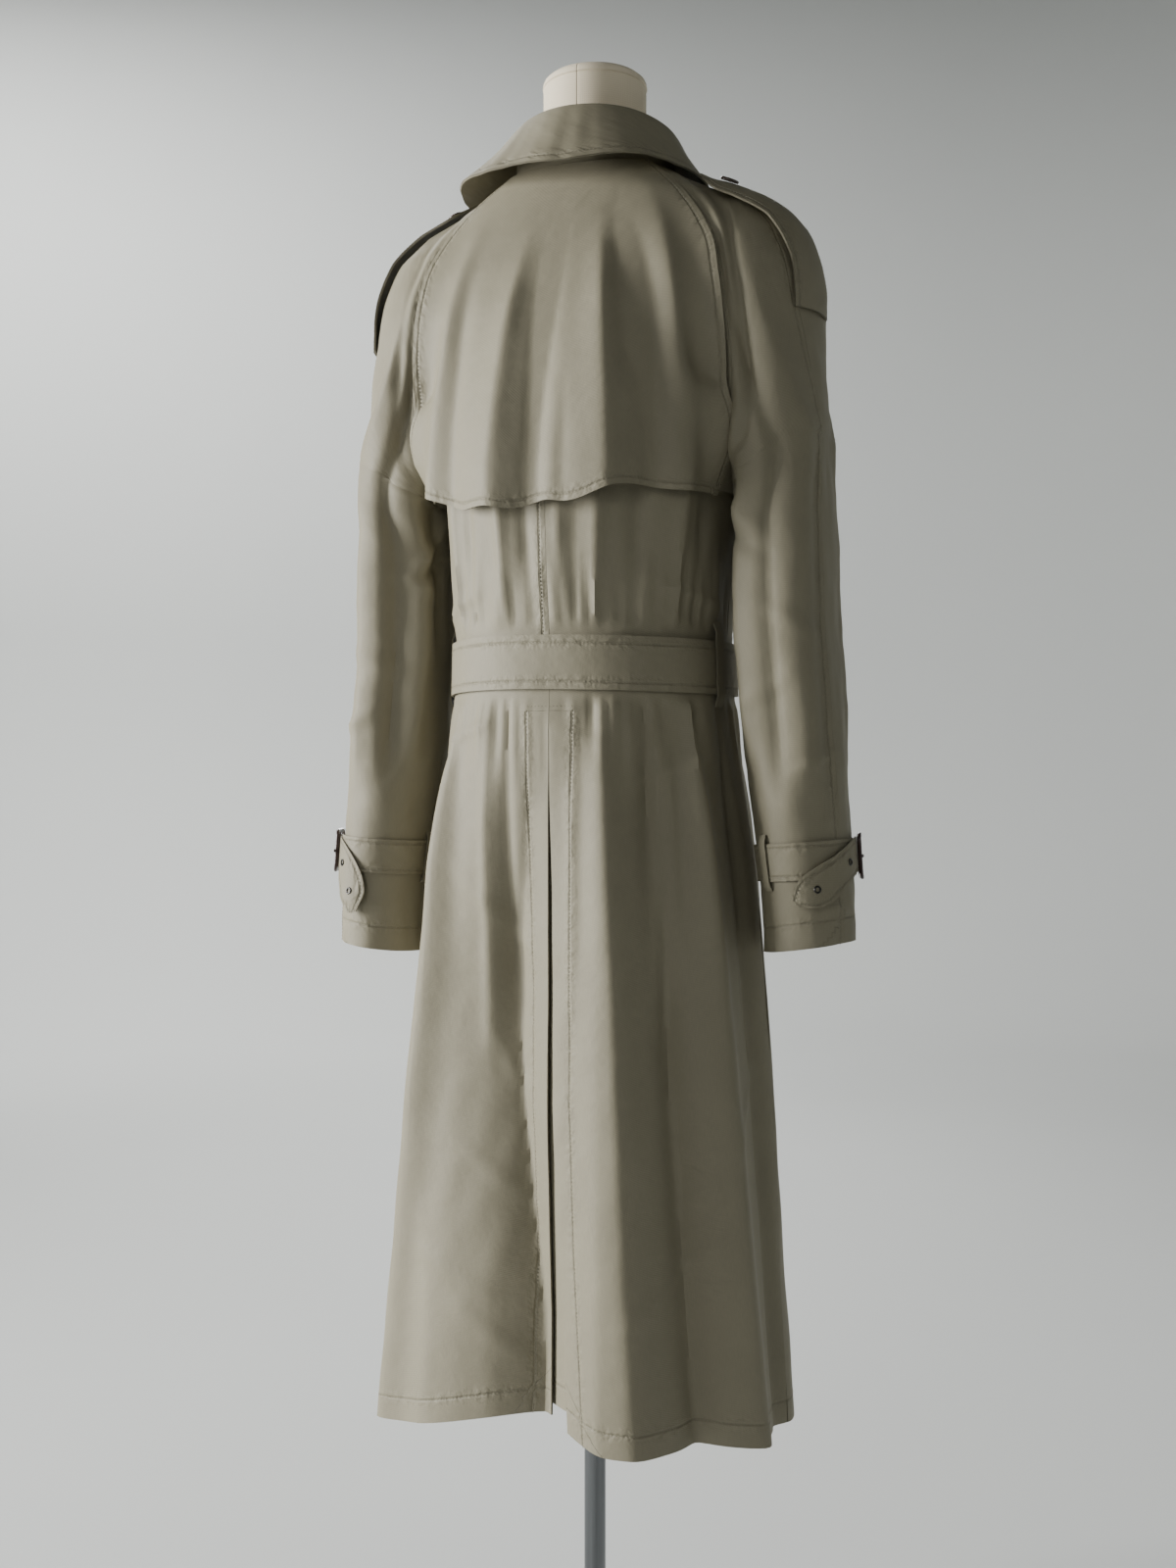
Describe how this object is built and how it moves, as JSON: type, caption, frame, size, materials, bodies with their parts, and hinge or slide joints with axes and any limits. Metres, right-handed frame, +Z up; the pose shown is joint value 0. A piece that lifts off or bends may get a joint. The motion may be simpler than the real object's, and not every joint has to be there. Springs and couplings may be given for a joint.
{
  "type": "trench coat worn on a limbless dress form with a pole stand",
  "caption": "Belted raglan trench coat with storm flap, epaulettes, cuff straps and back vent, worn on a limbless dress form on a chrome pole and round base.",
  "frame": {"origin": "centre of the base plate's underside, on the floor below the pole", "axes": "+Z up along the pole; the coat's front faces -Y; the wearer's left is +X"},
  "size_m": [0.57, 0.36, 1.6835],
  "materials": {
    "gabardine": "twill, soft sheen",
    "form_cloth": "plain weave, matte",
    "chrome": "polished",
    "buckle_leather": "polished leather cover",
    "eyelet_steel": "dark plated",
    "button_horn": "dark horn"
  },
  "bodies": {
    "root": {"back_left": "gabardine", "back_right": "gabardine", "base_boss": "chrome", "base_plate": "chrome", "belt": "gabardine", "belt_buckle": "buckle_leather", "belt_loop_left": "gabardine", "belt_loop_right": "gabardine", "belt_tail": "gabardine", "collar": "gabardine", "cuff_buckle_left": "buckle_leather", "cuff_buckle_right": "buckle_leather", "cuff_eyelet_left_1": "eyelet_steel", "cuff_eyelet_left_2": "eyelet_steel", "cuff_eyelet_right_1": "eyelet_steel", "cuff_eyelet_right_2": "eyelet_steel", "cuff_loop_left_1": "gabardine", "cuff_loop_left_2": "gabardine", "cuff_loop_right_1": "gabardine", "cuff_loop_right_2": "gabardine", "cuff_strap_left": "gabardine", "cuff_strap_right": "gabardine", "cuff_tail_left": "gabardine", "cuff_tail_right": "gabardine", "epaulette_button_left": "button_horn", "epaulette_button_right": "button_horn", "epaulette_left": "gabardine", "epaulette_right": "gabardine", "form_neck_cap": "form_cloth", "form_torso": "form_cloth", "front_button_1": "button_horn", "front_button_2": "button_horn", "front_button_3": "button_horn", "front_button_4": "button_horn", "front_button_5": "button_horn", "front_button_6": "button_horn", "front_button_7": "button_horn", "front_button_8": "button_horn", "front_left": "gabardine", "front_right": "gabardine", "lapel_left": "gabardine", "lapel_right": "gabardine", "pole": "chrome", "pole_flange": "chrome", "sleeve_back_left": "gabardine", "sleeve_back_right": "gabardine", "sleeve_front_left": "gabardine", "sleeve_front_right": "gabardine", "storm_flap": "gabardine", "vent_underlay": "gabardine"}
  },
  "joints": []
}
